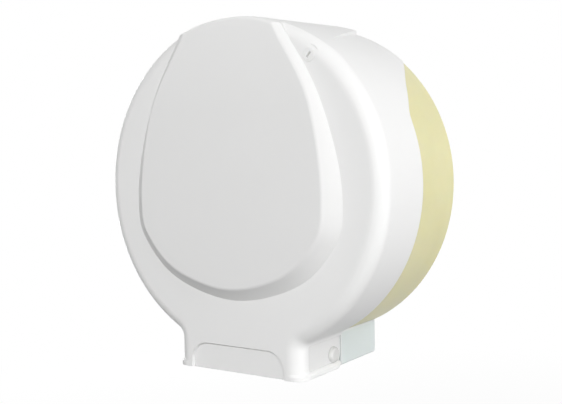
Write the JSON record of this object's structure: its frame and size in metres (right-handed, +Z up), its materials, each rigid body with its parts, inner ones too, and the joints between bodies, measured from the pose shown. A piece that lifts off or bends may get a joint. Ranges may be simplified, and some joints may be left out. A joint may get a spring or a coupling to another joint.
{
  "type": "toilet roll dispenser",
  "caption": "Round wall dispenser for a jumbo toilet roll: hinged shell cover with an egg-shaped panel, rear casing, turning spindle, key lock and serrated paper outlet underneath.",
  "frame": {"origin": "where the axis of the round drum and spindle meets the wall, which is also the centre of the four wall screw holes", "axes": "+X to the right of someone facing the dispenser, +Y into the wall, +Z up; the front of the cover is at -Y"},
  "size_m": [0.28, 0.1372, 0.2973],
  "materials": {
    "front_cover": "satin white moulding",
    "rear_casing": "satin, translucent pale yellow moulding",
    "outlet_housing": "satin, frosted clear moulding",
    "spindle": "satin white moulding",
    "adaptor": "matt grey moulding",
    "steel": "bright zinc-plated steel",
    "tear_bar": "stamped stainless strip",
    "bush": "natural acetal",
    "pin": "glossy white moulding",
    "lock": "glossy white moulding",
    "lock_metal": "nickel-plated zinc"
  },
  "bodies": {
    "base": {"rear_casing": "rear_casing", "outlet_housing": "outlet_housing", "outlet_housing_screws": "steel", "tear_bar_rear": "tear_bar", "tear_bar_rear_screws": "steel", "hinge_pin_right": "pin", "hinge_pin_left": "pin", "hinge_pin_clips": "steel", "spindle_flange": "spindle", "spindle_flange_screws": "steel", "spindle_axle": "steel", "axle_retaining_ring": "steel", "spindle_washers": "bush", "lock_strike": "lock_metal", "lock_strike_screws": "steel"},
    "cover": {"front_cover": "front_cover", "hinge_bush_right": "bush", "hinge_bush_left": "bush", "tear_bar_front": "tear_bar", "tear_bar_front_screws": "steel", "lock_bezel": "lock", "lock_nut": "lock"},
    "lock": {"lock_barrel": "lock", "lock_cam": "lock_metal", "lock_cam_screw": "steel"},
    "hub": {"spindle_hub": "spindle", "spindle_end_cap": "spindle", "core_adaptor": "adaptor"}
  },
  "joints": [
    {"name": "cover_hinge", "type": "hinge", "parent": "base", "child": "cover", "pos_m": [0, -0.0745, -0.142], "axis": [1, 0, 0], "range_deg": [0, 90]},
    {"name": "lock_turn", "type": "hinge", "parent": "cover", "child": "lock", "pos_m": [0.07674, -0.115, 0.10037], "axis": [0, 1, 0], "range_deg": [0, 90]},
    {"name": "hub_spin", "type": "hinge", "parent": "base", "child": "hub", "pos_m": [0, -0.064, 0], "axis": [0, 1, 0], "continuous": true}
  ]
}
